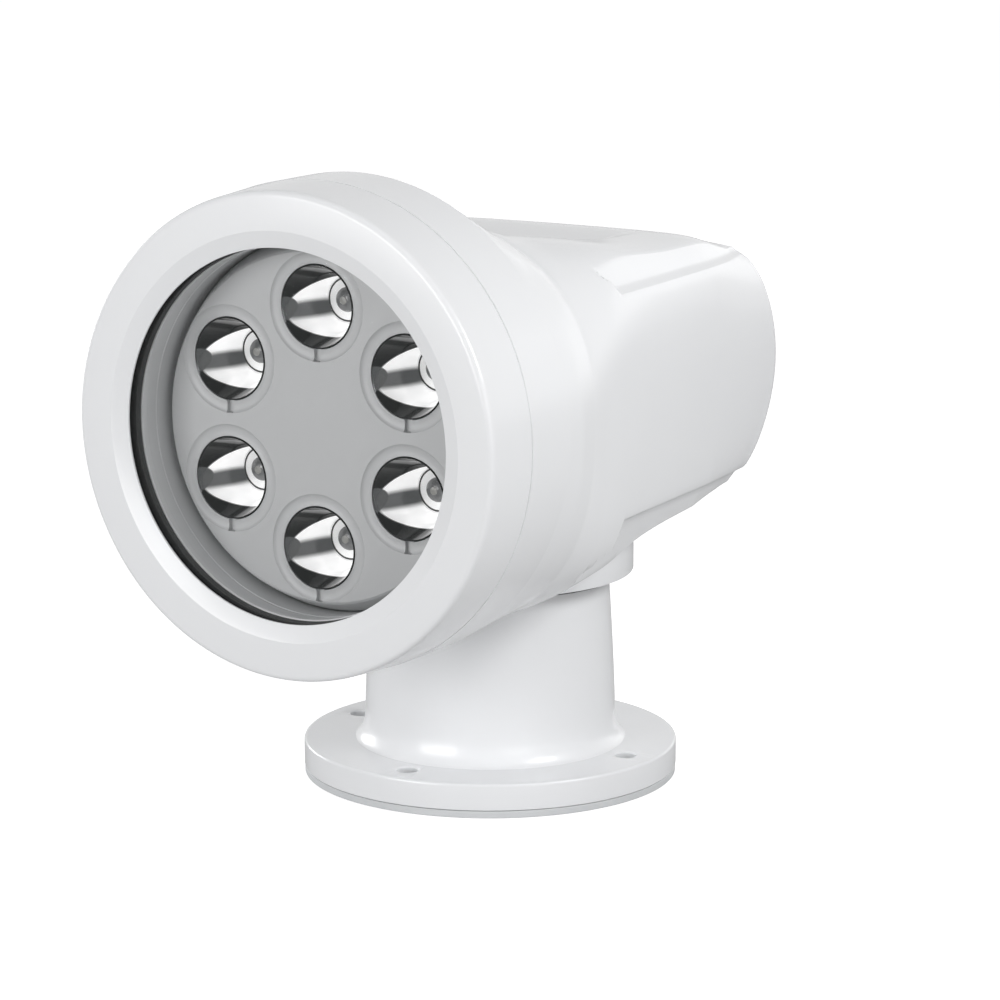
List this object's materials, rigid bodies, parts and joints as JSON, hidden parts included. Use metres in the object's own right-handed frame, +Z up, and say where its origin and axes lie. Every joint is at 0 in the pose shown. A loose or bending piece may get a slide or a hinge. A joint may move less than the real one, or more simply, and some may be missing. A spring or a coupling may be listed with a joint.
{
  "type": "marine searchlight",
  "caption": "Remote-steered deck searchlight: a white head with a round glass over a cluster of mirrored cups pans on a bolted pedestal, while the optics tilt inside it.",
  "frame": {"origin": "on the pan axis, in the plane of the base gasket's underside, where the lamp stands on the deck", "axes": "+Z up along the pan axis; at rest the lamp shines along -Y and +X is to its left as it faces"},
  "size_m": [0.1968, 0.2952, 0.2679],
  "materials": {
    "white_moulding": "gloss",
    "grey_silicone": "satin",
    "black_rubber": "matte",
    "tray_grey": "satin",
    "shroud_dark": "satin",
    "cup_mirror": "polished",
    "cast_aluminium": "satin",
    "stainless": "satin",
    "brass": "satin",
    "black_nylon": "matte",
    "white_acetal": "satin",
    "clear_glass": "clear",
    "circuit_board": "satin",
    "motor_can": "satin"
  },
  "bodies": {
    "base": {"base_gasket": "grey_silicone", "pedestal": "white_moulding", "bottom_cover": "black_nylon", "cable_gland": "black_nylon", "gland_nut": "black_nylon", "pan_bearing_outer_race": "stainless", "ring_gear": "white_acetal", "pan_seal": "black_rubber", "slip_ring_stator": "black_nylon", "cover_screw_1": "stainless", "cover_screw_2": "stainless", "cover_screw_3": "stainless", "cover_screw_4": "stainless"},
    "head": {"head_housing": "white_moulding", "turntable": "cast_aluminium", "spindle_nut": "stainless", "pan_bearing_inner_race": "stainless", "pan_bearing_cage": "brass", "slip_ring_rotor": "black_nylon", "pan_motor": "motor_can", "bezel": "white_moulding", "bezel_seal": "black_rubber", "lens_gasket": "grey_silicone", "lens": "clear_glass", "lens_retainer": "shroud_dark", "tilt_bracket_left": "black_nylon", "tilt_bracket_right": "black_nylon", "tilt_motor": "motor_can", "tilt_motor_mount": "black_nylon", "control_board": "circuit_board", "turntable_screw_1": "stainless", "turntable_screw_2": "stainless", "turntable_screw_3": "stainless", "turntable_screw_4": "stainless"},
    "optics": {"optic_tray": "tray_grey", "led_board": "circuit_board", "heat_sink": "cast_aluminium", "trunnion_left": "stainless", "trunnion_right": "stainless", "tilt_sector": "white_acetal", "reflector_1": "cup_mirror", "reflector_2": "cup_mirror", "reflector_3": "cup_mirror", "reflector_4": "cup_mirror", "reflector_5": "cup_mirror", "reflector_6": "cup_mirror"},
    "pan_drive": {"pan_pinion": "brass"},
    "tilt_drive": {"tilt_pinion": "brass"}
  },
  "joints": [
    {"name": "pan", "type": "hinge", "parent": "base", "child": "head", "pos_m": [0, 0, 0.085], "axis": [0, 0, 1], "continuous": true},
    {"name": "tilt", "type": "hinge", "parent": "head", "child": "optics", "pos_m": [0, -0.112, 0.1695], "axis": [1, 0, 0], "range_deg": [-12, 12]},
    {"name": "pan_pinion_spin", "type": "hinge", "parent": "head", "child": "pan_drive", "pos_m": [0, 0.039, 0.094], "axis": [0, 0, 1], "continuous": true},
    {"name": "tilt_pinion_spin", "type": "hinge", "parent": "head", "child": "tilt_drive", "pos_m": [0.054, -0.055, 0.1695], "axis": [1, 0, 0], "range_deg": [-79.2, 79.2]}
  ],
  "couplings": [
    {"joint": "pan_pinion_spin", "follows": "pan", "ratio": 3.3333},
    {"joint": "tilt_pinion_spin", "follows": "tilt", "ratio": -6.6}
  ]
}
